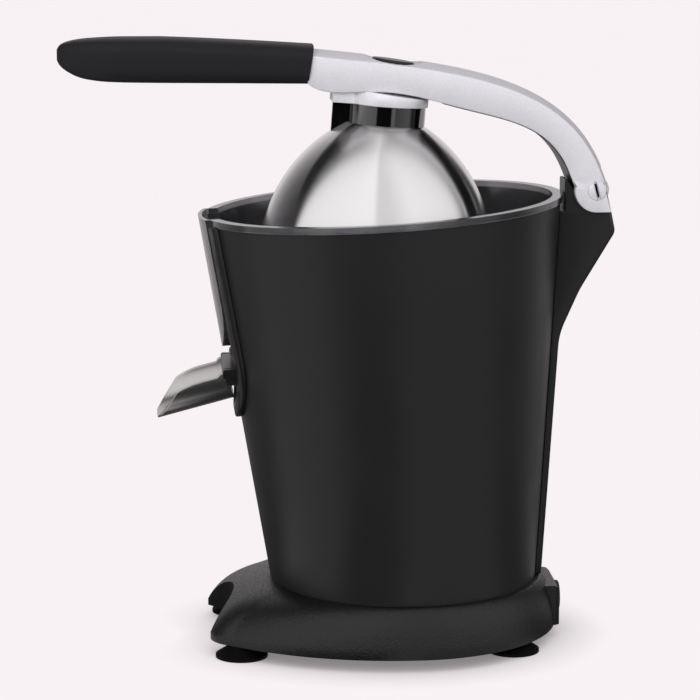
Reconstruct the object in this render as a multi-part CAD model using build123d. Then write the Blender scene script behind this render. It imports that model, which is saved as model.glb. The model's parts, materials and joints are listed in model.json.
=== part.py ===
from build123d import *
from math import acos, atan, atan2, cos, degrees, pi, radians, sin, sqrt, tan
import os

# Lever-press electric citrus juicer, in millimetres, front towards -Y, standing on z = 0.
# Pieces are drawn about the centre of the seam between base and drum, and moved to the
# middle of the whole machine when they are written out.

# Whole machine, lever resting
overrun = 60.0
moving_gap = 0.35
fit_clearance = 0.05
seat_clearance = 0.1

# Base
base_low = 7.0
base_rim = 4.0
seam_height = 34.7
base_ledge = 1.5
base_side_radius = 88.5
base_flank = (79.5, -55.0)
lobe_side = (52.0, -102.0)
lobe_corner = (46.0, -109.5)
lobe_front = (36.0, -113.5)
base_front = 115.0
cutout_half_width = 38.0
cutout_depth = 16.0
base_pocket_radius = 62.0
base_shoulder = 25.0
base_shoulder_share = 0.7
heel_half_width = 22.0
heel_rear = 89.4
heel_top = 30.5
heel_front = 66.0
heel_round = 4.0
plate_radius = 68.0
plate_thickness = 3.0
vent_count = 8
vent_offset = 34.0
vent_length = 16.0
vent_width = 3.0

# Feet
foot_side = 48.0
foot_front = 96.0
foot_rear = 58.7
foot_radius = 14.8
foot_ring = 2.2
foot_edge = 1.6
foot_neck_radius = 6.5
foot_hollow = 3.6
foot_hollow_radius = 4.0
foot_stem_radius = 4.0
foot_stem = 4.2

# Small screws
screw_radius = 1.5
screw_head_radius = 3.0
screw_head = 1.8
screw_length = 9.0
base_screw_circle = 65.0
base_screws = 4
base_screw_bearing = 45.0

# Cord gland
gland_height = 19.0
gland_radius = 6.0
gland_bore = 3.6
gland_flange_radius = 9.0
gland_flange = 2.0
gland_length = 34.0

# Drum
seam_radius = 77.0
shell_top_radius = 101.3
shell_height = 214.0
shell_wall = 1.6
body_lean = 3.36
slot_half_width = 30.5
slot_rise = 15.0
bezel_half_width = 36.0
bezel_stand = 3.4
bezel_lip = 1.2

# Rear spine and hinge
spine_stand = 3.0
spine_depth = 30.0
spine_waist_drop = 78.0
spine_waist_stand = 4.4
spine_waist_round = 40.0
spine_bend = (-7.7, -57.8)
spine_bend_round = 60.0
spine_knee = (12.3, -24.5)
spine_knee_round = 6.0
spine_shoulder = (9.8, -12.4)
spine_edge_round = 2.0
spine_front = -17.3
spine_front_top = (-15.2, 5.6)
pivot_behind_rim = 17.92
pivot_above_rim = 5.25
tongue_half_width = 10.6
tongue_radius = 12.0
ear_gap_half_width = 11.5
ear_radius = 12.4
ear_heel = 3.4
ear_overlap = 4.0
hinge_inset = 0.8
fork_gap = 1.0
pivot_radius = 4.0
pivot_head_radius = 5.4
pivot_head = 2.6
pivot_head_stand = 0.8
pivot_slot = 1.3
pivot_slot_turn = -14.0
washer_radius = 8.0
washer_thickness = 0.8
spine_screw_heights = (30.0, 62.0, 94.0)
spine_screw_length = 5.4

# Juice bowl
bowl_gap = 1.0
bowl_wall = 2.2
bowl_seat = 1.0
bowl_rim_stand = 1.3
bowl_rim_rise = 3.6
duct_half_width = 27.5
duct_stand = 3.6
duct_rise = 33.0
chimney_bore = 9.0
chimney_wall = 2.2
chimney_drop = 6.0
strainer_drop = 42.0
ledge_width = 4.0
ledge_thickness = 3.0
outlet_rise = 13.0
outlet_radius = 7.0
seal_wall = 2.0
seal_length = 5.4
seal_stand = 0.34

# Spout and its holder
holder_plug_rise = 2.0
holder_plug_stand = 0.2
holder_block_reach = 6.6
holder_block_depth = 5.0
holder_block_low = 13.6
holder_block_top = 18.9
holder_cheek_low = 4.0
holder_cheek_reach = 4.2
spout_half_width = 25.6
spout_wall = 1.2
spout_corner = 15.6
spout_nose = 21.0
spout_root_gap = 0.7
spout_root_drop = 7.9
spout_depth = 16.4
spout_length = 43.8
spout_slope = 14.7
spout_shoulder = 23.4
spout_belly = (34.0, 8.8)
spout_pin_reach = 3.0
spout_pin_rise = 16.3
spout_pin_radius = 1.3
spout_pin_end = 2.4
spout_ear_radius = 2.5
spout_ear_low = 9.7

# Strainer
strainer_dip = 4.0
strainer_dip_radius = 46.0
strainer_hub = 17.0
strainer_hub_rise = 2.0
strainer_sheet = 1.2
strainer_slots = 36
strainer_slot_width = 1.8
strainer_slot_inset = 6.0
strainer_slot_margin = 11.6

# Reamer
reamer_gap = 8.0
reamer_height = 68.0
reamer_core_radius = 36.0
reamer_belly_share = 0.55
reamer_belly_width_share = 0.68
reamer_wall = 3.0
reamer_skirt_radius = 43.0
reamer_skirt = 3.0
reamer_ribs = 8
reamer_rib_thickness = 2.6
reamer_rib_stand = 3.6
reamer_socket_radius = 9.0

# Drive train, heights along the drum's axis from the seam
shaft_radius = 5.0
shaft_flat = 4.0
shaft_low = 46.0
shaft_engage = 22.0
shaft_flat_top = 90.0
shaft_socket_drop = 4.0
deck_height = 103.0
deck_thickness = 4.0
deck_bore = 11.0
deck_gap = 1.0
post_circle = 68.0
post_radius = 3.0
posts = 4
post_bearing = 45.0
spacer_radius = 5.4
lower_plate_height = 52.0
upper_plate_height = 82.0
gear_plate_thickness = 3.0
gear_plate_radius = 74.0
bush_wall = 2.0
bush_flange = 1.5
bush_flange_radius = 11.0
journal_radius = 7.0
hub_radius = 9.0
hub_play = 0.1
motor_offset = 42.0
module_first = 0.75
module_second = 1.0
pinion_teeth = 12
wheel_teeth = 48
pressure_angle = 25.0
addendum_share = 0.8
dedendum_share = 1.1
tooth_thinning = 0.16
wheel_face = 6.0
pinion_face = 8.0
output_face = 8.0
first_mesh_height = 57.5
second_mesh_height = 66.0
idler_pin_radius = 2.5
idler_pin_top = 76.0
motor_shaft_radius = 2.5
motor_shaft_low = -9.0
stator_half_width = 25.0
stator_half_depth = 21.0
stator_round = 3.0
stator_low = 14.0
stator_stack = 26.0
rotor_radius = 13.0
rotor_slots = 12
rotor_slot_depth = 8.0
rotor_slot_width = 2.0
air_gap = 0.6
coil_window_half = 4.0
coil_window_in = 14.6
coil_window_out = 20.0
coil_reach = 5.0
coil_side = 12.0
motor_post_radius = 2.4
motor_post_side = 21.8
motor_post_depth = 17.8
bearing_radius = 6.0
bridge_low = 4.0
bridge_thickness = 4.0
bridge_half_depth = 8.0
fan_low = -6.0
fan_radius = 17.0
fan_disc = 1.2
fan_blade_height = 6.0
fan_blade_thickness = 1.0
fan_blades = 12
fan_hub_radius = 5.0
plunger_radius = 7.4
plunger_length = 6.0
plunger_arm = 17.0
plunger_arm_half_width = 3.0
plunger_arm_thickness = 3.0
contact_gap = 0.3
spring_radius = 5.6
spring_wire_radius = 0.6
spring_turns = 4
spring_length = 14.0
hanger_thickness = 2.5
hanger_half_width = 18.0
hanger_leg = 12.0
switch_near = 9.6
switch_width = 7.0
switch_half_length = 8.0
switch_height = 10.0
switch_button_radius = 1.5
switch_button_sink = 3.0

# Lever arm: side view of its lower and upper edges from the grip down to the hinge, from the pivot
arm_half_width = 18.0
arm_crown = 3.2
arm_stations = (
    ((-163.8, 61.4), (-163.2, 77.0)),
    ((-127.8, 56.6), (-127.8, 73.2)),
    ((-87.8, 50.0), (-82.8, 66.6)),
    ((-56.8, 42.0), (-49.8, 57.6)),
    ((-31.8, 31.2), (-23.8, 44.0)),
    ((-18.2, 15.4), (-6.6, 26.4)),
    ((-12.5, 2.4), (5.2, 2.0)),
)
tang_half_width = 9.0
tang_height = 9.0
tang_length = 70.0
tang_low = 64.9
recess_radius = 17.0
recess_depth = 3.0
recess_y = -114.4
recess_z = 74.6
recess_lean = -8.4
cap_radius = 12.0
cap_height = 2.0
liner_thickness = 1.6
liner_stand = 0.4
liner_half_width = 16.8
liner_start = -87.8

# Grip: place along the arm and heights of underside and top, from the pivot, and half width
grip_body_stations = (
    (-164.2, 61.0, 82.0, 18.4),
    (-205.4, 61.2, 85.1, 18.7),
    (-246.6, 61.6, 86.9, 19.0),
    (-287.8, 63.4, 86.2, 17.6),
)
grip_tip_stations = (
    (-293.1, 65.2, 85.6, 16.4),
    (-298.3, 67.8, 84.4, 14.0),
    (-303.6, 71.4, 81.6, 9.5),
)
grip_crown = 7.5
grip_crown_share = 0.35
grip_belly = 3.0
grip_belly_share = 0.3

# Press dome and its fixing, along the dome's own axis
dome_lean = -4.2
dome_rim_place = (-123.4, -26.6)
dome_radius = 66.0
dome_height = 64.0
dome_belly = (54.7, 31.8)
dome_crown_radius = 22.0
dome_wall = 1.5
collar_height = 11.0
fin_reach = 31.0
fin_thickness = 4.0
fin_drop = 14.0
bracket_radius = 23.2
bracket_rise = 12.0
bracket_block_reach = 32.0
bracket_block_half_width = 12.0
bracket_slot_half_width = 3.2
dome_screw_radius = 3.5
dome_screw_head_radius = 7.0
dome_screw_head = 4.0
dome_screw_head_seat = 92.0
dome_nut_radius = 8.0
dome_nut_height = 6.0

shell_flare = (shell_top_radius - seam_radius) / shell_height
flare_angle = degrees(atan(shell_flare))


def shell_radius(height):
    return seam_radius + shell_flare * height


body = Pos(0, 0, seam_height) * Rot(body_lean, 0, 0)


def side_point(reach, height):
    """Where a point of the leaning drum lies in the side view."""
    spot = (body * Pos(0, reach, height)).position
    return spot.Y, spot.Z


bowl_rim_radius = shell_top_radius + bowl_rim_stand
bowl_rim_top = shell_height + bowl_rim_rise
rim_y, rim_z = side_point(bowl_rim_radius, shell_height)
pivot_y = rim_y + pivot_behind_rim
pivot_z = rim_z + pivot_above_rim


def from_pivot(point):
    return pivot_y + point[0], pivot_z + point[1]


arm_points = [(from_pivot(lower), from_pivot(upper)) for lower, upper in arm_stations]
tang_base = pivot_z + tang_low
bowl_floor = deck_height + deck_thickness + bowl_seat
outlet_height = bowl_floor + outlet_rise
slot_centre = outlet_height + slot_rise
duct_centre = slot_centre + duct_rise
holder_plug_top = slot_centre + holder_plug_rise
strainer_ledge = shell_height - strainer_drop
chimney_top = strainer_ledge - chimney_drop
reamer_low = strainer_ledge + reamer_gap
reamer_tip = reamer_low + reamer_height
shaft_top = reamer_low + shaft_engage
shaft_socket_low = reamer_low - shaft_socket_drop
outlet_y, outlet_z = side_point(-shell_radius(outlet_height), outlet_height)
spout_root = spout_root_gap - outlet_y
spout_root_height = outlet_z - spout_root_drop
spout_pin_y = -spout_root - spout_pin_reach
spout_pin_z = spout_root_height + spout_pin_rise
dome_rim_y, dome_rim_z = from_pivot(dome_rim_place)
dome_place = Pos(0, dome_rim_y, dome_rim_z) * Rot(dome_lean, 0, 0)
spout_place = Pos(0, -spout_root, spout_root_height) * Rot(spout_slope, 0, 0)
spout_pin_place = Pos(0, spout_pin_y, spout_pin_z) * Rot(0, 90, 0)
pivot_place = Pos(0, pivot_y, pivot_z) * Rot(0, 90, 0)
recess_place = Pos(0, *from_pivot((recess_y, recess_z))) * Rot(recess_lean, 0, 0)
outlet_place = Pos(0, 0, outlet_height) * Rot(90, 0, 0)
gland_place = Pos(0, heel_rear, gland_height) * Rot(90, 0, 0)
spine_screw_places = [
    Pos(0, shell_radius(s) - shell_wall - seat_clearance, s) * Rot(-90 - flare_angle, 0, 0)
    for s in spine_screw_heights
]
foot_places = {
    "front_left": Pos(-foot_side, -foot_front, 0),
    "front_right": Pos(foot_side, -foot_front, 0),
    "rear_left": Pos(-foot_side, foot_rear, 0),
    "rear_right": Pos(foot_side, foot_rear, 0),
}
first_centres = module_first * (pinion_teeth + wheel_teeth) / 2
second_centres = module_second * (pinion_teeth + wheel_teeth) / 2
idler_y = (second_centres**2 - first_centres**2 + motor_offset**2) / (2 * motor_offset)
idler_x = sqrt(second_centres**2 - idler_y**2)
motor_place = Pos(0, motor_offset, 0)
idler_place = Pos(idler_x, idler_y, 0)
idler_bearing = degrees(atan2(idler_y, idler_x))
motor_bearing = degrees(atan2(motor_offset - idler_y, -idler_x))
motor_post_places = [
    motor_place * Pos(-motor_post_side, -motor_post_depth),
    motor_place * Pos(motor_post_side, motor_post_depth),
]
plunger_top = shaft_low - contact_gap
spring_seat = plunger_top - plunger_length - spring_length
switch_place = Pos(switch_near + switch_width / 2, 0, spring_seat)
on_floor = (Align.CENTER, Align.CENTER, Align.MIN)


def rod(radius, low, high):
    return Pos(0, 0, low) * Cylinder(radius, high - low, align=on_floor)


def ring(outer, inner, low, high):
    return rod(outer, low, high) - rod(inner, low - overrun, high + overrun)


def slab(half_width, front, rear, low, high):
    middle = Pos(0, (front + rear) / 2, low)
    return middle * Box(2 * half_width, rear - front, high - low, align=on_floor)


def drum(stand, low, high):
    """Solid cone parallel to the outside of the drum, standing out from it by stand."""
    cone = Cone(shell_radius(low) + stand, shell_radius(high) + stand, high - low, align=on_floor)
    return Pos(0, 0, low) * cone


def arch(half_width, centre, top):
    """U-shaped prism through the front of the drum, round at the bottom."""
    straight = Pos(0, (centre + top) / 2) * Rectangle(2 * half_width, top - centre)
    outline = straight + Pos(0, centre) * Circle(half_width)
    return extrude(Plane.XZ * outline, amount=shell_top_radius + overrun)


def side_profile(points, half_width):
    """Prism of a side view, given as (y, z) points, across the machine."""
    outline = Plane.YZ * make_face(Polyline(*points, close=True))
    return extrude(outline, amount=half_width, both=True)


def screw(length):
    """Pan-head screw that points up from a head whose seat is at zero."""
    head = fillet(rod(screw_head_radius, -screw_head, 0).faces().sort_by(Axis.Z)[0].edges(), screw_head / 2)
    return head + rod(screw_radius, 0, length)


def group(shapes):
    """Several separate solids in one piece list."""
    return Compound([solid for shape in shapes for solid in shape.solids()])


def copies_on_circle(shape, radius, count, start=0):
    return [Rot(0, 0, start + i * 360 / count) * Pos(radius, 0, 0) * shape for i in range(count)]


# Base


def base_loop(points):
    """Closed loop of six arcs through twelve points, taken in order round the base."""
    ends = points[0::2]
    middles = points[1::2]
    arcs = [ThreePointArc(a, m, b) for a, m, b in zip(ends, middles, ends[1:] + ends[:1])]
    return make_face(arcs)


def base_section(share):
    """Outline of the base drawn in towards the seam circle, at the same bearings all the way up."""
    radius = seam_radius + base_ledge
    quarter = [(base_side_radius, 0), base_flank, lobe_side, lobe_corner, lobe_front]
    ends = [Vector(*p) for p in quarter + [(0, -base_front), (0, base_side_radius)]]
    drawn = [v * share + v.normalized() * radius * (1 - share) for v in ends]
    points = [(v.X, v.Y) for v in drawn]
    left = [(-x, y) for x, y in reversed(points[:5])]
    return base_loop(points[:6] + left + points[6:])


def make_base_housing():
    low = Pos(0, 0, base_low) * base_section(1)
    rim_height = base_low + base_rim
    skirt = extrude(low, amount=base_rim)
    shoulder = Pos(0, 0, base_shoulder) * base_section(base_shoulder_share)
    flare = loft([Pos(0, 0, base_rim) * low, shoulder, Pos(0, 0, seam_height) * base_section(0)])
    heel = slab(heel_half_width, heel_front, heel_rear, base_low, heel_top)
    heel_edges = heel.faces().sort_by(Axis.Y)[-1].edges()
    heel = fillet(heel_edges.filter_by(Axis.Z) + heel_edges.sort_by(Axis.Z)[-1:], heel_round)
    cut_radius = (cutout_half_width**2 + cutout_depth**2) / (2 * cutout_depth)
    cut_centre = -base_front + cutout_depth - cut_radius
    cutout = Pos(0, cut_centre, 0) * rod(cut_radius, -overrun, overrun)
    housing = skirt + flare + heel - cutout
    housing -= rod(base_pocket_radius, -overrun, seam_height + overrun)
    housing -= rod(plate_radius, -overrun, base_low + plate_thickness)
    housing -= gland_place * rod(gland_radius, -overrun, gland_length)
    stem_hole = rod(foot_stem_radius + fit_clearance, 0, base_low + foot_stem + seat_clearance)
    for place in foot_places.values():
        housing -= place * stem_hole
    for hole in copies_on_circle(rod(screw_radius + fit_clearance, 0, rim_height + screw_length),
                                 base_screw_circle, base_screws, base_screw_bearing):
        housing -= hole
    return housing


def make_base_plate():
    plate = rod(plate_radius - seat_clearance, base_low, base_low + plate_thickness)
    sink = screw_head + fit_clearance
    for place in copies_on_circle(Pos(0, 0, base_low), base_screw_circle, base_screws, base_screw_bearing):
        plate -= place * rod(screw_head_radius + fit_clearance, -overrun, sink)
        plate -= place * rod(screw_radius + fit_clearance, 0, overrun)
    vent = Pos(0, vent_offset, 0) * SlotOverall(vent_length, vent_width)
    vents = [Rot(0, 0, i * 360 / vent_count) * vent for i in range(vent_count)]
    return plate - extrude(Pos(0, 0, base_low - overrun) * Sketch(children=vents), amount=2 * overrun)


def make_foot():
    """Suction cup with a flat sealing ring and a stem pressed into the base."""
    inner = foot_radius - foot_ring
    outline = [
        (0, foot_hollow),
        (foot_hollow_radius, foot_hollow),
        (inner, 0),
        (foot_radius, 0),
        (foot_radius, foot_edge),
        (foot_neck_radius, base_low),
        (foot_stem_radius, base_low),
        (foot_stem_radius, base_low + foot_stem),
        (0, base_low + foot_stem),
    ]
    return revolve(Plane.XZ * make_face(Polyline(*outline, close=True)), Axis.Z)


def make_base_screws():
    seat = Pos(0, 0, base_low + screw_head + fit_clearance)
    placed = seat * screw(screw_length)
    return group(copies_on_circle(placed, base_screw_circle, base_screws, base_screw_bearing))


def make_cord_gland():
    gland = rod(gland_radius - fit_clearance, 0, gland_length)
    flange = rod(gland_flange_radius, -gland_flange, 0)
    flange = fillet(flange.faces().sort_by(Axis.Z)[0].edges(), gland_flange / 2)
    return gland_place * (gland + flange - rod(gland_bore, -overrun, overrun))


# Drum, front bezel and rear spine


def make_body_shell():
    tube = drum(0, -seam_height, shell_height)
    tube -= drum(-shell_wall, -seam_height - overrun, shell_height + overrun)
    tube -= arch(slot_half_width, slot_centre, shell_height + overrun)
    for hole in spine_screw_places:
        tube -= hole * rod(screw_radius + fit_clearance, -overrun, overrun)
    return split(body * tube, Plane.XY.offset(seam_height), keep=Keep.TOP)


def make_slot_bezel():
    """Raised U frame that lies on the drum and lines the edge of the slot."""
    band = drum(bezel_stand, 0, shell_height) - drum(0, -overrun, shell_height + overrun)
    lining = drum(bezel_stand, 0, shell_height) - drum(-shell_wall, -overrun, shell_height + overrun)
    mouth = arch(slot_half_width - bezel_lip, slot_centre, shell_height + overrun)
    frame = band & arch(bezel_half_width, slot_centre, shell_height)
    frame += lining & arch(slot_half_width - seat_clearance, slot_centre, shell_height)
    return body * (frame - mouth)


def hinge_outline(radius, inset, half_width):
    """End about the pivot, round in front and cut off square behind along the back line of the arm."""
    back_top = arm_points[-1][1][0] - inset
    back_low = back_top + ear_heel
    top = arm_points[-1][1][1]
    low = pivot_z - ear_radius
    front = pivot_y - ear_radius - overrun
    profile = side_profile([(front, top + ear_overlap), (back_top - ear_overlap / 2, top + ear_overlap),
                            (back_top, top), (back_low, low), (front, low)], half_width)
    nose = profile & pivot_place * rod(radius, -half_width, half_width)
    return nose + (profile & slab(half_width, pivot_y, back_low, low, top))


def make_rear_spine():
    """Column up the back that swells into the hinge block, with the tongue between the ears."""
    foot_y = side_point(seam_radius + spine_stand, 0)[0]
    inner = foot_y - spine_depth
    waist_height = shell_height - spine_waist_drop
    waist = side_point(shell_radius(waist_height) + spine_waist_stand, waist_height)
    bend = from_pivot(spine_bend)
    knee = from_pivot(spine_knee)
    shoulder = from_pivot(spine_shoulder)
    points = [(inner, seam_height), (foot_y, seam_height), waist, bend, knee, shoulder, (inner, shoulder[1])]
    side = make_face(Polyline(*points, close=True))
    rounds = [(waist, spine_waist_round), (bend, spine_bend_round), (knee, spine_knee_round)]
    for corner, radius in rounds:
        side = fillet(side.vertices().sort_by_distance(corner)[:1], radius)
    column = extrude(Plane.YZ * side, amount=tongue_half_width, both=True)
    rear_edges = column.edges().filter_by(lambda e: e.center().Y > seam_radius)
    rear_edges = rear_edges.filter_by(lambda e: abs(e.center().X) > tongue_half_width / 2)
    column = fillet(rear_edges.filter_by(lambda e: e.center().Z < shoulder[1] - spine_edge_round),
                    spine_edge_round)
    front_top = from_pivot(spine_front_top)
    front = pivot_y + spine_front
    column += side_profile([(front, shoulder[1]), (front, front_top[1]), front_top,
                            (pivot_y - tongue_radius, pivot_z), (pivot_y, shoulder[1])], tongue_half_width)
    column += hinge_outline(tongue_radius, hinge_inset, tongue_half_width)
    column -= pivot_place * rod(pivot_radius + fit_clearance, -overrun, overrun)
    column -= body * drum(0, -overrun, shell_height)
    column -= body * rod(bowl_rim_radius + moving_gap, shell_height - moving_gap, shell_height + overrun)
    for hole in spine_screw_places:
        column -= body * hole * rod(screw_radius + fit_clearance, -overrun, spine_screw_length)
    return column


def make_spine_screws():
    return group([body * hole * screw(spine_screw_length - seat_clearance) for hole in spine_screw_places])


# Bowl, strainer and spout


def make_juice_bowl():
    """Clear bowl that lines the drum, with a duct that bulges out through the front slot."""
    out = -shell_wall - bowl_gap
    duct = drum(duct_stand, bowl_floor, bowl_rim_top) & arch(duct_half_width, duct_centre, bowl_rim_top)
    outside = drum(out, bowl_floor, shell_height) + rod(bowl_rim_radius, shell_height, bowl_rim_top) + duct
    inside = drum(out - bowl_wall, bowl_floor + bowl_wall, bowl_rim_top + overrun)
    duct_inside = drum(duct_stand - bowl_wall, bowl_floor, bowl_rim_top + overrun)
    inside += duct_inside & arch(duct_half_width - bowl_wall, duct_centre, bowl_rim_top + overrun)
    ledge_radius = shell_radius(strainer_ledge) + out - bowl_wall
    ledge = drum(out - bowl_wall / 2, strainer_ledge - ledge_thickness, strainer_ledge)
    ledge -= rod(ledge_radius - ledge_width, 0, shell_height)
    chimney = rod(chimney_bore + chimney_wall, bowl_floor, chimney_top)
    bowl = outside - inside + ledge + chimney - rod(chimney_bore, 0, shell_height)
    return body * (bowl - outlet_place * rod(outlet_radius, 0, shell_top_radius))


def make_outlet_seal():
    seal_end = shell_radius(outlet_height) - seal_stand
    tube = ring(outlet_radius - fit_clearance, outlet_radius - seal_wall, seal_end - seal_length, seal_end)
    return body * outlet_place * tube


def make_spout_holder():
    """Plug in the foot of the slot with the roof block and cheeks that the spout hangs between."""
    out = -shell_wall - bowl_gap + seat_clearance
    width = slot_half_width - bezel_lip - seat_clearance
    plug = drum(holder_plug_stand, 0, holder_plug_top) - drum(out, -overrun, shell_height)
    plug = body * (plug & arch(width, slot_centre, holder_plug_top))
    block_front = -spout_root - holder_block_reach
    block_rear = holder_block_depth - spout_root
    block_low = spout_root_height + holder_block_low
    block = slab(width, block_front, block_rear, block_low, spout_root_height + holder_block_top)
    block = fillet(block.edges().filter_by(Axis.X).sort_by(Axis.Y)[:2], spout_pin_radius)
    cheek = slab(width, -spout_root - holder_cheek_reach, block_rear,
                 spout_root_height + holder_cheek_low, block_low + spout_pin_radius)
    block += cheek - slab(spout_half_width + moving_gap, block_front, 0, 0, block_low)
    block &= body * arch(width, slot_centre, shell_height)
    holder = plug + (block - body * drum(out, -overrun, shell_height))
    slot_rear = spout_pin_y + spout_ear_radius + moving_gap
    ear_slot = slab(spout_half_width + moving_gap, block_front - overrun, slot_rear, 0, overrun)
    inner = slab(spout_half_width - spout_wall - moving_gap, block_front - overrun, 0, 0, overrun)
    holder -= Pos(0, 0, spout_pin_z - overrun / 2) * (ear_slot - inner)
    pin_end = spout_half_width + spout_pin_end + seat_clearance
    holder -= spout_pin_place * rod(spout_pin_radius + fit_clearance, -overrun, pin_end)
    return holder - body * outlet_place * rod(outlet_radius, 0, shell_top_radius)


def make_spout():
    """Steel trough folded up at both sides and cut back to a rounded lip."""
    sheet = RectangleRounded(2 * spout_half_width, 2 * spout_depth, spout_corner)
    sheet -= RectangleRounded(2 * (spout_half_width - spout_wall), 2 * (spout_depth - spout_wall),
                              spout_corner - spout_wall)
    trough = extrude(Plane.XZ * Pos(0, spout_depth) * sheet, amount=spout_length)
    side = Line((0, 0), (0, spout_depth)) + Line((0, spout_depth), (-spout_shoulder, spout_depth))
    shoulder = (-spout_shoulder, spout_depth)
    side += ThreePointArc(shoulder, (-spout_belly[0], spout_belly[1]), (-spout_length, 0))
    side += Line((-spout_length, 0), (0, 0))
    keep = extrude(Plane.YZ * make_face(side), amount=spout_half_width, both=True)
    plan = Pos(0, -spout_length / 2) * Rectangle(2 * spout_half_width, spout_length)
    plan = fillet(plan.vertices().sort_by(Axis.Y)[:2], spout_nose)
    keep &= extrude(plan, amount=spout_depth)
    spout = spout_place * (trough & keep)
    ear = spout_pin_place * rod(spout_ear_radius, spout_half_width - spout_wall, spout_half_width)
    strap = slab(spout_half_width, spout_pin_y - spout_ear_radius, spout_pin_y + spout_ear_radius,
                 spout_root_height + spout_ear_low, spout_pin_z)
    strap -= slab(spout_half_width - spout_wall, -shell_top_radius - overrun, 0, 0, shell_height)
    spout += ear + mirror(ear, Plane.YZ) + strap
    return spout - spout_pin_place * rod(spout_pin_radius + fit_clearance, -overrun, overrun)


def make_spout_pin():
    reach = spout_half_width + spout_pin_end
    return spout_pin_place * rod(spout_pin_radius, -reach, reach)


def make_strainer():
    """Shallow sheet dish with radial slots, resting on the ledge inside the bowl."""
    rim = shell_radius(strainer_ledge) - shell_wall - bowl_gap - bowl_wall - seat_clearance
    low = [
        (strainer_hub, strainer_ledge + strainer_hub_rise),
        (strainer_dip_radius, strainer_ledge - strainer_dip),
        (rim - ledge_width, strainer_ledge),
        (rim, strainer_ledge),
    ]
    high = [(r, s + strainer_sheet) for r, s in reversed(low)]
    dish = revolve(Plane.XZ * make_face(Polyline(*low, *high, close=True)), Axis.Z)
    slot_in = strainer_dip_radius + strainer_slot_inset
    length = rim - strainer_slot_margin - slot_in
    middle = slot_in + length / 2
    cutter = Pos(0, 0, strainer_ledge) * Box(length, strainer_slot_width, overrun)
    for place in copies_on_circle(cutter, middle, strainer_slots):
        dish -= place
    return body * dish


# Reamer and drive train


def shaft_section(clearance, low, high):
    """Round bar with two flats, as a solid or, with a clearance, as the hole for it."""
    flats = slab(shaft_flat + clearance, -shaft_radius - overrun, shaft_radius + overrun, low, high)
    return rod(shaft_radius + clearance, low, high) & flats


def reamer_curve(stand, low, high):
    """Half section of the pointed cone, standing out from its plain core by stand."""
    belly_height = low + (high - low) * reamer_belly_share
    belly = (reamer_core_radius * reamer_belly_width_share + stand, belly_height)
    edge = Line((0, low), (reamer_core_radius + stand, low))
    edge += ThreePointArc((reamer_core_radius + stand, low), belly, (0, high))
    edge += Line((0, high), (0, low))
    return Plane.XZ * make_face(edge)


def make_reamer():
    """Ribbed cone on a skirt, open below, with a socket that takes the flats of the shaft."""
    core = revolve(reamer_curve(0, reamer_low, reamer_tip), Axis.Z)
    rib_side = reamer_curve(reamer_rib_stand, reamer_low, reamer_tip)
    rib = extrude(rib_side, amount=reamer_rib_thickness / 2, both=True)
    for i in range(reamer_ribs):
        core += Rot(0, 0, i * 360 / reamer_ribs) * rib
    core += rod(reamer_skirt_radius, reamer_low, reamer_low + reamer_skirt)
    hollow_side = reamer_curve(-reamer_wall, reamer_low - reamer_wall, reamer_tip - 2 * reamer_wall)
    hollow = revolve(hollow_side, Axis.Z)
    hollow -= rod(reamer_socket_radius, 0, reamer_tip)
    core -= hollow
    return body * (core - shaft_section(fit_clearance, 0, shaft_top + seat_clearance))


def make_drive_shaft():
    shaft = shaft_section(0, shaft_low, shaft_flat_top) + shaft_section(0, shaft_socket_low, shaft_top)
    return body * (shaft + rod(shaft_radius, shaft_flat_top, shaft_socket_low))


def gear_outline(teeth, module, turn):
    """Involute spur gear with a tooth at the bearing given by turn."""
    pitch = module * teeth / 2
    root = pitch - dedendum_share * module
    tip = pitch + addendum_share * module
    base = pitch * cos(radians(pressure_angle))
    half_tooth = pi / (2 * teeth) - tooth_thinning / (2 * pitch)

    def involute(radius):
        angle = acos(min(1, base / radius))
        return tan(angle) - angle

    def half_angle(radius):
        return half_tooth + involute(pitch) - involute(radius)

    points = []
    for i in range(teeth):
        middle = radians(turn) + 2 * pi * i / teeth
        flank = [(radius, half_angle(radius)) for radius in (root, pitch, tip)]
        tooth = [(r, middle - a) for r, a in flank] + [(r, middle + a) for r, a in reversed(flank)]
        points += [(r * cos(a), r * sin(a)) for r, a in tooth]
    return make_face(Polyline(*points, close=True))


def gear(teeth, module, turn, low, face):
    return extrude(Pos(0, 0, low) * gear_outline(teeth, module, turn), amount=face)


def make_output_gear():
    lower = lower_plate_height + gear_plate_thickness + bush_flange + hub_play
    upper = upper_plate_height - bush_flange - hub_play
    wheel = gear(wheel_teeth, module_second, idler_bearing, second_mesh_height, output_face)
    wheel += rod(hub_radius, lower, upper)
    wheel += rod(journal_radius, lower_plate_height, upper_plate_height + gear_plate_thickness)
    return body * (wheel - shaft_section(fit_clearance, 0, shell_height))


def make_idler_gear():
    facing = idler_bearing + 180 + 180 / pinion_teeth
    cluster = gear(wheel_teeth, module_first, motor_bearing, first_mesh_height, wheel_face)
    cluster += gear(pinion_teeth, module_second, facing, first_mesh_height + wheel_face,
                    second_mesh_height + output_face - first_mesh_height - wheel_face)
    return body * idler_place * (cluster - rod(idler_pin_radius + fit_clearance, 0, shell_height))


def make_idler_pin():
    collar_top = first_mesh_height - moving_gap
    pin = rod(idler_pin_radius, lower_plate_height, idler_pin_top)
    pin += rod(2 * idler_pin_radius, lower_plate_height + gear_plate_thickness, collar_top)
    return body * idler_place * pin


def make_motor_shaft():
    facing = motor_bearing + 180 + 180 / pinion_teeth
    shaft = rod(motor_shaft_radius, motor_shaft_low, first_mesh_height)
    shaft += gear(pinion_teeth, module_first, facing, first_mesh_height - moving_gap, pinion_face)
    return body * motor_place * shaft


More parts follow.
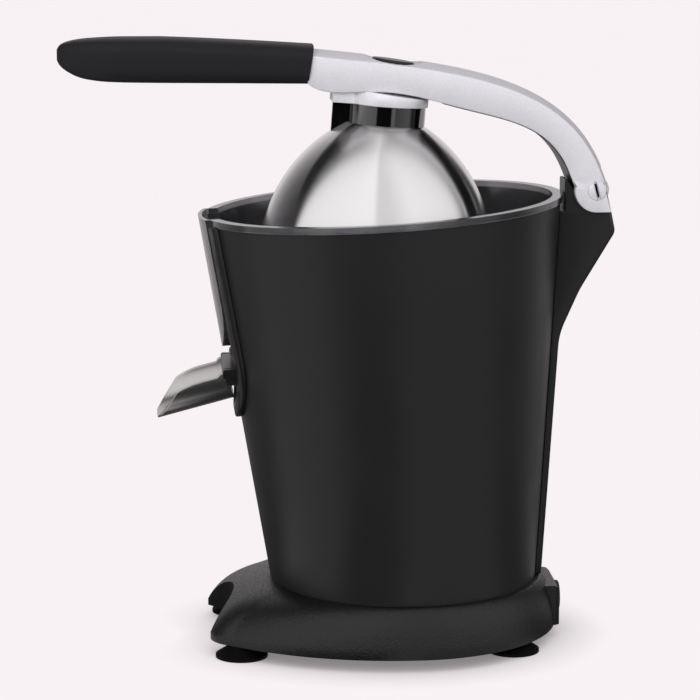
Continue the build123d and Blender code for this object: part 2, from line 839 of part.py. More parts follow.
def make_rotor():
    core = ring(rotor_radius, motor_shaft_radius + fit_clearance, stator_low, stator_low + stator_stack)
    slot = Pos(rotor_radius, 0, stator_low) * Box(rotor_slot_depth, rotor_slot_width, overrun)
    for i in range(rotor_slots):
        core -= Rot(0, 0, i * 360 / rotor_slots) * slot
    return body * motor_place * core


def make_cooling_fan():
    fan = rod(fan_radius, fan_low, fan_low + fan_disc)
    fan += rod(fan_hub_radius, fan_low, fan_low + fan_blade_height)
    span = fan_radius - fan_hub_radius
    blade = Box(span, fan_blade_thickness, fan_blade_height, align=on_floor)
    blade_circle = fan_hub_radius + span / 2 - fan_blade_thickness / 2
    for placed in copies_on_circle(Pos(0, 0, fan_low) * blade, blade_circle, fan_blades):
        fan += placed
    return body * motor_place * (fan - rod(motor_shaft_radius + fit_clearance, -overrun, overrun))


def coil_section(clearance):
    """One winding bundle, lying in its window of the stack."""
    middle = (coil_window_in + coil_window_out) / 2
    return Pos(middle, coil_side) * Rectangle(coil_window_out - coil_window_in - clearance,
                                              2 * coil_window_half - clearance)


def make_motor_stator():
    stack = RectangleRounded(2 * stator_half_width, 2 * stator_half_depth, stator_round)
    stack -= Circle(rotor_radius + air_gap)
    for turn in (0, 180):
        window = coil_section(0)
        stack -= Rot(0, 0, turn) * (window + mirror(window, Plane.XZ))
    stator = motor_place * extrude(Pos(0, 0, stator_low) * stack, amount=stator_stack)
    for place in motor_post_places:
        stator -= place * rod(screw_radius + fit_clearance, 0, shell_height)
    return body * stator


def make_motor_coils():
    """Two wound bundles, each a flat loop through a pair of windows."""
    coils = []
    low = stator_low - coil_reach
    high = stator_low + stator_stack + coil_reach
    for turn in (0, 180):
        leg = extrude(Pos(0, 0, low) * coil_section(2 * seat_clearance), amount=high - low)
        loop = leg + mirror(leg, Plane.XZ)
        middle = (coil_window_in + coil_window_out) / 2
        for height in (low, high - coil_reach + 2 * seat_clearance):
            bar = Box(coil_window_out - coil_window_in - 2 * seat_clearance, 2 * coil_side,
                      coil_reach - 2 * seat_clearance, align=on_floor)
            loop += Pos(middle, 0, height) * bar
        coils.append(body * motor_place * Rot(0, 0, turn) * loop)
    return group(coils)


def make_motor_deck():
    """Floor of the bowl space, on four long posts that stand on the base."""
    radius = shell_radius(deck_height) - shell_wall - deck_gap
    deck = rod(radius, deck_height, deck_height + deck_thickness) - rod(deck_bore, 0, shell_height)
    column = rod(post_radius, -seam_height, deck_height)
    for post in copies_on_circle(column, post_circle, posts, post_bearing):
        deck += post
    return split(body * deck, Plane.XY.offset(seam_height), keep=Keep.TOP)


def make_deck_seal():
    lip = ring(deck_bore + bush_wall, shaft_radius + fit_clearance, deck_height - bush_flange, deck_height)
    return body * (lip + ring(deck_bore - fit_clearance, shaft_radius + fit_clearance, deck_height,
                              deck_height + deck_thickness))


def make_plate_spacers():
    spans = (
        (-seam_height, lower_plate_height),
        (lower_plate_height + gear_plate_thickness, upper_plate_height),
        (upper_plate_height + gear_plate_thickness, deck_height),
    )
    spacers = []
    for low, high in spans:
        tube = ring(spacer_radius, post_radius + fit_clearance, low, high)
        spacers += [split(body * place, Plane.XY.offset(seam_height), keep=Keep.TOP)
                    for place in copies_on_circle(tube, post_circle, posts, post_bearing)]
    return group(spacers)


def gear_plate(height):
    plate = rod(gear_plate_radius, height, height + gear_plate_thickness)
    plate -= rod(journal_radius + bush_wall, 0, shell_height)
    bore = rod(post_radius + fit_clearance, 0, shell_height)
    for hole in copies_on_circle(bore, post_circle, posts, post_bearing):
        plate -= hole
    return plate


def make_gear_plate_lower():
    plate = gear_plate(lower_plate_height)
    plate -= idler_place * rod(idler_pin_radius + fit_clearance, 0, shell_height)
    plate -= motor_place * rod(bearing_radius, 0, shell_height)
    for place in motor_post_places:
        plate -= place * rod(screw_radius + fit_clearance, 0, shell_height)
    return body * plate


def make_gear_plate_upper():
    return body * gear_plate(upper_plate_height)


def make_shaft_bush(height, inward):
    """Flanged bush pressed into a gear plate, with its flange towards the gears."""
    bore = journal_radius + fit_clearance
    face = height + gear_plate_thickness if inward > 0 else height - bush_flange
    sleeve = ring(journal_radius + bush_wall - fit_clearance, bore, height, height + gear_plate_thickness)
    return body * (sleeve + ring(bush_flange_radius, bore, face, face + bush_flange))


def make_motor_posts():
    low = stator_low + stator_stack
    tube = ring(motor_post_radius, screw_radius + fit_clearance, low, lower_plate_height)
    return group([body * place * tube for place in motor_post_places])


def make_motor_screws():
    top = lower_plate_height + gear_plate_thickness
    length = top - bridge_low - bridge_thickness
    return group([body * place * Pos(0, 0, top) * Rot(180, 0, 0) * screw(length)
                              for place in motor_post_places])


def make_motor_bridge():
    """Slanting strap under the stack that holds the lower bearing, on a foot at each screw."""
    span = 2 * (Vector(motor_post_side, motor_post_depth).length + bridge_half_depth)
    slant = degrees(atan2(motor_post_depth, motor_post_side))
    outline = Rot(0, 0, slant) * SlotOverall(span, 2 * bridge_half_depth) - Circle(bearing_radius)
    bridge = motor_place * extrude(Pos(0, 0, bridge_low) * outline, amount=bridge_thickness)
    for place in motor_post_places:
        bridge += place * rod(motor_post_radius, bridge_low + bridge_thickness, stator_low)
        bridge -= place * rod(screw_radius + fit_clearance, 0, shell_height)
    return body * bridge


def make_motor_bearings():
    bore = motor_shaft_radius + fit_clearance
    outer = bearing_radius - fit_clearance
    lower = ring(outer, bore, bridge_low, bridge_low + bridge_thickness)
    upper = ring(outer, bore, lower_plate_height, lower_plate_height + gear_plate_thickness)
    return group([body * motor_place * lower, body * motor_place * upper])


# Press switch under the shaft


def make_switch_hanger():
    """Bent strip under the lower plate that carries the spring and the switch."""
    floor = slab(hanger_half_width, -hanger_leg, hanger_leg, spring_seat - hanger_thickness, spring_seat)
    leg = slab(hanger_half_width, -hanger_leg - hanger_thickness, -hanger_leg,
               spring_seat - hanger_thickness, lower_plate_height)
    return body * (floor + leg)


def make_thrust_plunger():
    low = plunger_top - plunger_length
    arm = slab(plunger_arm_half_width, 0, plunger_arm, low, low + plunger_arm_thickness)
    return body * (rod(plunger_radius, low, plunger_top) + Rot(0, 0, -90) * arm)


def make_return_spring():
    """Open coil of round wire between the hanger and the plunger."""
    low = spring_seat + spring_wire_radius + seat_clearance
    rise = plunger_top - plunger_length - spring_wire_radius - seat_clearance - low
    path = Pos(0, 0, low) * Helix(rise / spring_turns, rise, spring_radius)
    wire = Plane(path @ 0, z_dir=path % 0) * Circle(spring_wire_radius)
    return body * sweep(wire, path=path, is_frenet=True)


def make_micro_switch():
    case = Box(switch_width, 2 * switch_half_length, switch_height, align=on_floor)
    case = fillet(case.edges().filter_by(Axis.Z), spring_wire_radius)
    hole = rod(switch_button_radius + fit_clearance, switch_height - 2 * switch_button_sink, overrun)
    return body * switch_place * (case - hole)


def make_switch_button():
    top = plunger_top - plunger_length - contact_gap - spring_seat
    return body * switch_place * rod(switch_button_radius, switch_height - switch_button_sink, top)


# Lever arm, grip and press dome


def arm_plane(lower, upper):
    """Plane across the arm at one station, with its own height measured up from the underside."""
    rise = Vector(0, upper[0] - lower[0], upper[1] - lower[1])
    return Plane(origin=(0, lower[0], lower[1]), x_dir=(1, 0, 0), z_dir=(0, -rise.Z, rise.Y)), rise.length


def arm_section(lower, upper):
    """Cross section of the arm with a flat underside and a crowned top."""
    plane, height = arm_plane(lower, upper)
    corners = [(-arm_half_width, height), (-arm_half_width, 0), (arm_half_width, 0), (arm_half_width, height)]
    crown = ThreePointArc(corners[3], (0, height + arm_crown), corners[0])
    return plane * make_face(Polyline(*corners) + crown)


def liner_section(lower, upper):
    plane, height = arm_plane(lower, upper)
    return plane * Pos(0, liner_thickness / 2 - liner_stand) * Rectangle(2 * liner_half_width, liner_thickness)


def fork_space():
    """Space between the two ears of the arm."""
    space = pivot_place * rod(tongue_radius + fork_gap, -ear_gap_half_width, ear_gap_half_width)
    front = pivot_y - ear_radius - overrun
    return space + slab(ear_gap_half_width, front, pivot_y + overrun, pivot_z - overrun, arm_points[-1][1][1])


def arm_blank():
    """Bowed arm with its two ears, before the dome fixing is cut into it."""
    beam = loft([arm_section(lower, upper) for lower, upper in arm_points])
    return beam + hinge_outline(ear_radius, 0, arm_half_width) - fork_space()


def make_arm_liner():
    """Dark strip let into the underside of the arm, from behind the dome down to the hinge."""
    strip = loft([liner_section(lower, upper) for lower, upper in arm_points])
    strip &= slab(arm_half_width, pivot_y + liner_start, pivot_y, pivot_z - overrun, pivot_z + overrun)
    return strip - fork_space()


def make_lever_arm():
    arm = arm_blank() - make_arm_liner()
    start = arm_points[0][0][0]
    arm += slab(tang_half_width, start - tang_length, start + tang_height, tang_base, tang_base + tang_height)
    arm -= recess_place * rod(recess_radius, -recess_depth, overrun)
    arm -= dome_place * rod(dome_screw_radius + fit_clearance, 0, dome_screw_head_seat + overrun)
    arm -= dome_place * rod(dome_screw_head_radius + fit_clearance, dome_screw_head_seat,
                            dome_screw_head_seat + overrun)
    arm -= pivot_place * rod(pivot_radius + fit_clearance, -overrun, overrun)
    sink = arm_half_width + pivot_head_stand - pivot_head
    arm -= pivot_place * rod(pivot_head_radius + fit_clearance, sink, overrun)
    return arm - pivot_place * rod(pivot_head_radius + fit_clearance, -overrun, -sink)


def grip_section(y, low, high, half_width):
    """Cross section of the grip: slightly bellied below, strongly crowned on top."""
    span = high - low
    crown = min(grip_crown, span * grip_crown_share)
    belly = min(grip_belly, span * grip_belly_share)
    side_low = low + belly
    side_high = high - crown
    top = ThreePointArc((half_width, side_high), (0, high), (-half_width, side_high))
    under = ThreePointArc((-half_width, side_low), (0, low), (half_width, side_low))
    sides = Line((-half_width, side_high), (-half_width, side_low)) + Line((half_width, side_low),
                                                                          (half_width, side_high))
    plane = Plane(origin=(0, pivot_y + y, pivot_z), x_dir=(1, 0, 0), z_dir=(0, -1, 0))
    return plane * make_face(top + under + sides)


def make_grip():
    grip = loft([grip_section(*station) for station in grip_body_stations])
    grip += loft([grip_section(*station) for station in grip_body_stations[-1:] + grip_tip_stations])
    start = arm_points[0][0][0]
    return grip - slab(tang_half_width + fit_clearance, start - tang_length - seat_clearance, 0,
                       tang_base - fit_clearance, tang_base + tang_height + fit_clearance)


def make_hinge_pin():
    """Pivot screw with a slotted round head let into the near ear."""
    sink = arm_half_width + pivot_head_stand - pivot_head
    pin = rod(pivot_radius, -sink, sink) + rod(pivot_head_radius, sink, sink + pivot_head)
    slot = Box(pivot_slot, 2 * pivot_head_radius + overrun, 2 * pivot_slot)
    slot = Pos(0, 0, sink + pivot_head) * Rot(0, 0, 90 - pivot_slot_turn) * slot
    return pivot_place * (pin - slot)


def make_hinge_cap():
    sink = arm_half_width + pivot_head_stand - pivot_head
    cap = rod(pivot_head_radius, -sink - pivot_head, -sink)
    return pivot_place * fillet(cap.faces().sort_by(Axis.Z)[0].edges(), pivot_head_stand)


def make_hinge_washers():
    washer_face = tongue_half_width + washer_thickness
    washer = ring(washer_radius, pivot_radius + fit_clearance, tongue_half_width, washer_face)
    return group([pivot_place * washer, pivot_place * Rot(180, 0, 0) * washer])


def make_screw_cap():
    cap = rod(cap_radius, -recess_depth, cap_height - recess_depth)
    return recess_place * fillet(cap.faces().sort_by(Axis.Z)[-1].edges(), cap_height / 2)


def dome_outline(wall):
    """Half section under the dome's outer curve, drawn in by wall."""
    rim = (dome_radius - wall, 0)
    belly = (dome_belly[0] - wall, dome_belly[1] - wall / 2)
    crown = (dome_crown_radius - wall / 2, dome_height - wall)
    edge = ThreePointArc(rim, belly, crown) + Line(crown, (0, crown[1]))
    edge += Line((0, crown[1]), (0, 0)) + Line((0, 0), rim)
    return revolve(Plane.XZ * make_face(edge), Axis.Z)


def make_press_dome():
    dome = dome_outline(0) - dome_outline(dome_wall)
    return dome_place * (dome - rod(dome_screw_radius + fit_clearance, 0, overrun + dome_height))


def make_dome_collar():
    """Glossy collar on top of the dome with a guide fin that follows the dome down in front."""
    top = dome_height + collar_height
    collar = rod(dome_crown_radius, dome_height, top)
    fin = slab(fin_thickness / 2, -fin_reach, 0, dome_height - fin_drop, top)
    collar += fin - dome_outline(0)
    return dome_place * (collar - rod(dome_screw_radius + fit_clearance, 0, overrun + dome_height))


def make_dome_bracket():
    """Bright ring and forked front block between the collar and the underside of the arm."""
    low = dome_height + collar_height
    high = low + bracket_rise
    bracket = rod(bracket_radius, low, high)
    bracket += slab(bracket_block_half_width, -bracket_block_reach, 0, low, high)
    slot_front = -bracket_block_reach - overrun
    bracket -= slab(bracket_slot_half_width, slot_front, -bracket_radius, 0, high + overrun)
    bracket = dome_place * (bracket - rod(dome_screw_radius + fit_clearance, 0, high + overrun))
    under = [lower for lower, upper in arm_points[:3]]
    keep = side_profile(under + [(under[-1][0], dome_rim_z), (under[0][0], dome_rim_z)], 2 * bracket_radius)
    return (bracket & keep) - arm_blank()


def make_dome_screw():
    head = rod(dome_screw_head_radius, dome_screw_head_seat, dome_screw_head_seat + dome_screw_head)
    shank_end = dome_height - dome_wall - dome_nut_height
    return dome_place * (head + rod(dome_screw_radius, shank_end, dome_screw_head_seat))


def make_dome_nut():
    high = dome_height - dome_wall
    low = high - dome_nut_height
    nut = extrude(Pos(0, 0, low) * RegularPolygon(dome_nut_radius, 6), amount=dome_nut_height)
    return dome_place * (nut - rod(dome_screw_radius + fit_clearance, 0, overrun + dome_height))


nodes = {
    "base_housing": make_base_housing(),
    "base_plate": make_base_plate(),
    "base_screws": make_base_screws(),
    "cord_gland": make_cord_gland(),
    "body_shell": make_body_shell(),
    "slot_bezel": make_slot_bezel(),
    "rear_spine": make_rear_spine(),
    "spine_screws": make_spine_screws(),
    "juice_bowl": make_juice_bowl(),
    "outlet_seal": make_outlet_seal(),
    "spout_holder": make_spout_holder(),
    "spout": make_spout(),
    "spout_pin": make_spout_pin(),
    "strainer": make_strainer(),
    "reamer": make_reamer(),
    "drive_shaft": make_drive_shaft(),
    "output_gear": make_output_gear(),
    "idler_gear": make_idler_gear(),
    "idler_pin": make_idler_pin(),
    "motor_shaft": make_motor_shaft(),
    "rotor": make_rotor(),
    "cooling_fan": make_cooling_fan(),
    "motor_stator": make_motor_stator(),
    "motor_coils": make_motor_coils(),
    "motor_posts": make_motor_posts(),
    "motor_screws": make_motor_screws(),
    "motor_bridge": make_motor_bridge(),
    "motor_bearings": make_motor_bearings(),
    "motor_deck": make_motor_deck(),
    "deck_seal": make_deck_seal(),
    "plate_spacers": make_plate_spacers(),
    "gear_plate_lower": make_gear_plate_lower(),
    "gear_plate_upper": make_gear_plate_upper(),
    "shaft_bush_lower": make_shaft_bush(lower_plate_height, 1),
    "shaft_bush_upper": make_shaft_bush(upper_plate_height, -1),
    "switch_hanger": make_switch_hanger(),
    "thrust_plunger": make_thrust_plunger(),
    "return_spring": make_return_spring(),
    "micro_switch": make_micro_switch(),
    "switch_button": make_switch_button(),
    "lever_arm": make_lever_arm(),
    "arm_liner": make_arm_liner(),
    "grip": make_grip(),
    "hinge_pin": make_hinge_pin(),
    "hinge_cap": make_hinge_cap(),
    "hinge_washers": make_hinge_washers(),
    "screw_cap": make_screw_cap(),
    "press_dome": make_press_dome(),
    "dome_collar": make_dome_collar(),
    "dome_bracket": make_dome_bracket(),
    "dome_screw": make_dome_screw(),
    "dome_nut": make_dome_nut(),
}
for name, place in foot_places.items():
    nodes[f"suction_foot_{name}"] = place * make_foot()

# The machine stands centred between the tip of the grip and the back of the hinge block
grip_tip = nodes["grip"].bounding_box().min.Y
spine_back = nodes["rear_spine"].bounding_box().max.Y
row_shift = -(grip_tip + spine_back) / 2
os.makedirs("parts", exist_ok=True)
for name, shape in nodes.items():
    export_step(Pos(0, row_shift, 0) * shape, f"parts/{name}.step")
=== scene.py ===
# %% [markdown]
# # A lever-press citrus juicer
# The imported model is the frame: every piece sits where its solid sits, in metres, front towards -Y.
# The solids come in as loose triangles, so each one that shows is either given a smooth copy
# or modelled afresh here, and then gets a finish made of shader nodes.

# %% Load the frame
import json
from math import acos, asin, atan2, copysign, cos, pi, radians, sin, sqrt, tau
import bmesh
import bpy
from mathutils import Matrix, Vector


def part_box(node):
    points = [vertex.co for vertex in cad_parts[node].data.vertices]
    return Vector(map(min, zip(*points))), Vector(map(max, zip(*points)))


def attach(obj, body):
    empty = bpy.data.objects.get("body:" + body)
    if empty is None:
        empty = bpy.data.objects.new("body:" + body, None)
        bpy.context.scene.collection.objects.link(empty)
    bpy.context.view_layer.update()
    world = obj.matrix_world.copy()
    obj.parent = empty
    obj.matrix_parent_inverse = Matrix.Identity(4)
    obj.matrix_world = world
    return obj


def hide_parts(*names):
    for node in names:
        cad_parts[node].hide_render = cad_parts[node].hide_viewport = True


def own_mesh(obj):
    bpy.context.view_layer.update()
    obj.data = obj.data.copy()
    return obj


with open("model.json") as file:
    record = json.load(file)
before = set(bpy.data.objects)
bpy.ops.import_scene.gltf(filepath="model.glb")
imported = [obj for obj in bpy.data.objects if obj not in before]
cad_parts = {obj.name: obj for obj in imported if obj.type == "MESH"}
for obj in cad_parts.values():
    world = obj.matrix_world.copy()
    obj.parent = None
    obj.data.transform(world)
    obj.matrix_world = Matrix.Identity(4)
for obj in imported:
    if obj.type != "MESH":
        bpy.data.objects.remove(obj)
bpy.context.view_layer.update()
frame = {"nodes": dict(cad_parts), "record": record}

scene = bpy.context.scene
scene.view_settings.view_transform = "Standard"

# %% [markdown]
# The camera looks at the right-hand side, a little from the front and 10 degrees from above.
# A long lens from a metre and a half away keeps the upright lines nearly parallel, as in a catalogue picture.

# %% Camera
camera_data = bpy.data.cameras.new("camera")
camera_data.sensor_width = 36
camera_data.lens = 139.3
camera = bpy.data.objects.new("camera", camera_data)
scene.collection.objects.link(camera)
camera_target = Vector((0, 0.00682, 0.1667))
camera.location = (1.5306, -0.10018, 0.4372)
camera.rotation_euler = (camera_target - camera.location).to_track_quat("-Z", "Y").to_euler()
scene.camera = camera
print("camera at", tuple(camera.location))

# %% [markdown]
# Four small helpers serve every finish below. They turn a colour as it is written on a swatch into linear light,
# add a shader node with its settings and its links, map one range of values onto another, and start a material.

# %% Colour and node helpers
MM = 0.001


def swatch(code):
    channels = [int(code[i:i + 2], 16) / 255 for i in (1, 3, 5)]
    linear = [c / 12.92 if c <= 0.04045 else ((c + 0.055) / 1.055) ** 2.4 for c in channels]
    return (*linear, 1.0)


def add(tree, kind, links=None, **settings):
    made = tree.nodes.new("ShaderNode" + kind)
    for key, value in settings.items():
        setattr(made, key, value)
    for key, value in (links or {}).items():
        if isinstance(value, bpy.types.NodeSocket):
            tree.links.new(value, made.inputs[key])
        else:
            made.inputs[key].default_value = value
    return made


def spread(tree, value, low, high, new_low, new_high):
    """Maps the range low to high of a value onto another range."""
    return add(tree, "MapRange", {"Value": value, 1: low, 2: high, 3: new_low, 4: new_high}).outputs[0]


def new_finish(name, colour, sockets):
    """A material with one Principled shader whose even values are set on its own sockets."""
    material = bpy.data.materials.new(name)
    material.use_nodes = True
    shader = material.node_tree.nodes["Principled BSDF"]
    shader.inputs["Base Color"].default_value = swatch(colour)
    for key, value in sockets.items():
        shader.inputs[key].default_value = value
    return material, material.node_tree, shader


print("mid grey is", [round(c, 3) for c in swatch("#808080")])

# %% [markdown]
# The room is a pale studio. Seen directly, the floor and the world share one colour, so the background has
# no horizon, and the floor still takes the soft shadow of the feet. In reflections the room has a broad light on
# the camera's side, two dim stretches beyond it and the pale backdrop behind, all fixed to the room's own compass:
# that is what draws bright and dark streaks down a turned metal dome.

# %% Studio backdrop
PALE = "#f7f1f3"


def bearing_ramp(tree, place, stops):
    """Greys laid out by compass bearing, in degrees from the camera's side, round the object."""
    compass = add(tree, "TexGradient", {"Vector": place}, gradient_type="RADIAL")
    ramp = add(tree, "ValToRGB", {"Fac": compass.outputs["Fac"]})
    elements = ramp.color_ramp.elements
    while len(elements) < len(stops):
        elements.new(0.5)
    for element, (bearing, grey) in zip(elements, stops):
        element.position = bearing / 360 + 0.5
        element.color = swatch(grey)
    return ramp.outputs["Color"]


def ray_kinds(tree):
    """Two switches: rays that look straight at a thing or through clear plastic, and rays that are mirrored."""
    path = add(tree, "LightPath")
    direct = add(tree, "Math", {0: path.outputs["Is Camera Ray"], 1: path.outputs["Is Transmission Ray"]},
                 operation="MAXIMUM")
    return direct.outputs[0], path.outputs["Is Glossy Ray"]


world = bpy.data.worlds.new("studio")
scene.world = world
world.use_nodes = True
tree = world.node_tree
tree.nodes.clear()
place = add(tree, "TexCoord")
ROOM = [(-180, "#c4c0c2"), (-164, "#b9b6b8"), (-150, "#8a888a"), (-134, "#585759"), (-116, "#3a393b"),
        (-99, "#2c2b2d"), (-93, "#e2e1e2"), (-8, "#ebeaeb"), (-3, "#cccbcc"), (14, "#cecdce"), (38, "#e6e5e6"),
        (94, "#dddcdd"), (101, "#8a898b"), (130, "#6e6d6f"), (136, "#151416"), (143, "#1a191b"), (150, "#b4b1b3"),
        (180, "#c4c0c2")]
direct, glossy = ray_kinds(tree)
height = add(tree, "SeparateXYZ", {0: place.outputs["Generated"]})
ceiling = spread(tree, height.outputs["Z"], 0.0, 0.9, 1.0, 0.16)
fill = add(tree, "Background", {"Color": swatch("#dcdadb"), "Strength": ceiling})
mirrored = add(tree, "Background", {"Color": bearing_ramp(tree, place.outputs["Generated"], ROOM), "Strength": 1.45})
backdrop = add(tree, "Background", {"Color": swatch(PALE), "Strength": 1.0})
seen = add(tree, "MixShader", {0: glossy, 1: fill.outputs[0], 2: mirrored.outputs[0]})
seen = add(tree, "MixShader", {0: direct, 1: seen.outputs[0], 2: backdrop.outputs[0]})
add(tree, "OutputWorld", {"Surface": seen.outputs[0]})
print("room bearings:", len(ROOM))

# %% [markdown]
# The floor is paper. Part of its brightness is the light that falls on it, which the object can shade, and part
# is a glow that fades where the object stands close, so the feet keep a soft dark contact with the floor.
# Only direct looks and reflections of the far side see the glow. In reflections the near side is a dark floor
# with a few strips of light lying on it, which is what polished black plastic needs to look polished.

# %% Studio floor
FLOOR_REACH = 30
floor_mesh = bpy.data.meshes.new("floor")
bm = bmesh.new()
bmesh.ops.create_grid(bm, x_segments=1, y_segments=1, size=FLOOR_REACH)
bm.to_mesh(floor_mesh)
bm.free()
floor = bpy.data.objects.new("floor", floor_mesh)
scene.collection.objects.link(floor)
floor_finish = bpy.data.materials.new("pale studio paper")
floor_finish.use_nodes = True
tree = floor_finish.node_tree
tree.nodes.clear()
place = add(tree, "TexCoord")
STRIPS = [(-180, "#2c2b2d"), (-102, "#2c2b2d"), (-98, "#e8e7e8"), (-36, "#d8d7d8"), (-31, "#161617"),
          (9, "#161617"), (12, "#dcdbdc"), (20, "#dcdbdc"), (23, "#a09fa1"), (66, "#c0bfc1"), (76, "#565557"),
          (106, "#565557"), (110, "#b0afb1"), (122, "#b0afb1"), (126, "#2c2b2d"), (180, "#2c2b2d")]
across = add(tree, "SeparateXYZ", {0: place.outputs["Object"]})
far_side = spread(tree, across.outputs["X"], 0.0, -1.0, 0.0, 0.6)
direct, glossy = ray_kinds(tree)
matte = add(tree, "BsdfDiffuse", {"Color": swatch("#a39f9f")})
shaded = add(tree, "BsdfDiffuse", {"Color": swatch("#353334")})
corner = add(tree, "AmbientOcclusion", {"Distance": 34 * MM}, samples=16)
# the contact shadow keeps a little of the glow, as light creeps under the rim of the base
lift = spread(tree, corner.outputs["AO"], 0.0, 1.0, 0.22, 1.0)
glow = add(tree, "Emission", {"Color": swatch("#f6f0f2"), "Strength": lift})
glowing = add(tree, "AddShader", {0: shaded.outputs[0], 1: glow.outputs[0]})
strips = add(tree, "Emission", {"Color": bearing_ramp(tree, place.outputs["Object"], STRIPS), "Strength": 1.0})
mirrored = add(tree, "MixShader", {0: far_side, 1: strips.outputs[0], 2: glowing.outputs[0]})
paper = add(tree, "MixShader", {0: glossy, 1: matte.outputs[0], 2: mirrored.outputs[0]})
paper = add(tree, "MixShader", {0: direct, 1: paper.outputs[0], 2: glowing.outputs[0]})
add(tree, "OutputMaterial", {"Surface": paper.outputs[0]})
floor_mesh.materials.append(floor_finish)
print("floor of", floor_finish.name)


# %% [markdown]
# Three large soft lamps light the object: a weak one overhead, a broad one on the camera's side and one behind.
# They only shade the surfaces; what shiny surfaces mirror is the room above.

# %% Lamps
def lamp(name, place, size, watts, target=(0, 0.02, 0.2)):
    data = bpy.data.lights.new(name, "AREA")
    data.shape = "RECTANGLE"
    data.size, data.size_y = size
    data.energy = watts
    light = bpy.data.objects.new(name, data)
    scene.collection.objects.link(light)
    light.location = place
    light.rotation_euler = (Vector(target) - light.location).to_track_quat("-Z", "Y").to_euler()
    light.visible_glossy = False


lamp("overhead softbox", (0.1, 0.0, 1.9), (1.8, 1.8), 1.5)
lamp("camera softbox", (2.1, -0.4, 1.0), (2.2, 1.2), 44)
lamp("back softbox", (-0.9, 1.4, 1.2), (1.2, 1.2), 4)

# %% [markdown]
# The drum is drawn steel under a satin black paint. Sprayed paint is never quite flat: a faint orange-peel
# ripple a millimetre or two long breaks up the reflections, and handling leaves broad patches a little glossier.

# %% Finish: satin black paint
paint, tree, shader = new_finish("satin black paint on steel", "#1d1d1e", {"IOR": 1.45, "Specular IOR Level": 0.35})
place = add(tree, "TexCoord")
ripple = add(tree, "TexNoise", {"Vector": place.outputs["Object"], "Scale": 1 / (1.6 * MM), "Detail": 2.0})
patches = add(tree, "TexNoise", {"Vector": place.outputs["Object"], "Scale": 1 / (45 * MM), "Detail": 3.0})
gloss = spread(tree, patches.outputs["Fac"], 0.3, 0.7, 0.36, 0.46)
bump = add(tree, "Bump", {"Height": ripple.outputs["Fac"], "Strength": 0.05, "Distance": 0.3 * MM})
tree.links.new(gloss, shader.inputs["Roughness"])
tree.links.new(bump.outputs["Normal"], shader.inputs["Normal"])
print(paint.name)


# %% [markdown]
# The foot and the trims are moulded in spark-eroded tools, which leave a grain of half a millimetre to a millimetre.
# Bump gives the grain, and the same noise varies the roughness so that the grain glints.

# %% Finish: grained plastic and rubber
def grained(name, colour, rough, grain_mm, depth_mm, level=0.4):
    material, tree, shader = new_finish(name, colour, {"IOR": 1.5, "Specular IOR Level": level})
    place = add(tree, "TexCoord")
    grain = add(tree, "TexNoise", {"Vector": place.outputs["Object"], "Scale": 1 / (grain_mm * MM), "Detail": 3.0})
    glint = spread(tree, grain.outputs["Fac"], 0.3, 0.7, rough - 0.08, rough + 0.08)
    bump = add(tree, "Bump", {"Height": grain.outputs["Fac"], "Strength": 0.6, "Distance": depth_mm * MM})
    tree.links.new(glint, shader.inputs["Roughness"])
    tree.links.new(bump.outputs["Normal"], shader.inputs["Normal"])
    return material


base_plastic = grained("spark-grained black ABS", "#0b0b0c", 0.4, 1.3, 0.35, 0.4)
trim_plastic = grained("fine-grained black ABS", "#141415", 0.36, 0.5, 0.04)
grip_rubber = grained("soft-touch black rubber", "#1a191c", 0.55, 0.7, 0.06, 0.2)
foot_rubber = grained("matt black rubber", "#040405", 0.7, 1.2, 0.05, 0.1)
dark_plastic = grained("dark inner moulding", "#1c1c1d", 0.5, 0.8, 0.05)
gear_plastic = grained("natural acetal", "#d8d5c8", 0.4, 0.8, 0.02)
print("grained:", [m.name for m in (base_plastic, trim_plastic, grip_rubber, foot_rubber, dark_plastic, gear_plastic)])

# %% [markdown]
# The collar and the squeezing cone are polished in the mould, so they mirror the room.
# A faint smear pattern keeps the mirror from looking like glass.

# %% Finish: polished plastic
gloss_plastic, tree, shader = new_finish("polished black ABS", "#060607",
                                         {"IOR": 1.7, "Coat Weight": 1.0, "Coat IOR": 1.6})
place = add(tree, "TexCoord")
smear = add(tree, "TexNoise", {"Vector": place.outputs["Object"], "Scale": 1 / (9 * MM), "Detail": 4.0})
gloss = spread(tree, smear.outputs["Fac"], 0.35, 0.7, 0.04, 0.12)
tree.links.new(gloss, shader.inputs["Roughness"])
print(gloss_plastic.name)

# %% [markdown]
# The bowl is clear SAN with a smoky tint. It is a real wall with two faces, so it bends and darkens what is
# behind it; slow waves from the mould make its reflections wander a little.

# %% Finish: clear plastic
clear_plastic, tree, shader = new_finish("clear smoky SAN", "#737276",
                                         {"IOR": 1.52, "Roughness": 0.09, "Transmission Weight": 0.86})
place = add(tree, "TexCoord")
wave = add(tree, "TexNoise", {"Vector": place.outputs["Object"], "Scale": 1 / (14 * MM), "Detail": 1.0})
bump = add(tree, "Bump", {"Height": wave.outputs["Fac"], "Strength": 0.05, "Distance": 0.5 * MM})
tree.links.new(bump.outputs["Normal"], shader.inputs["Normal"])
print(clear_plastic.name)
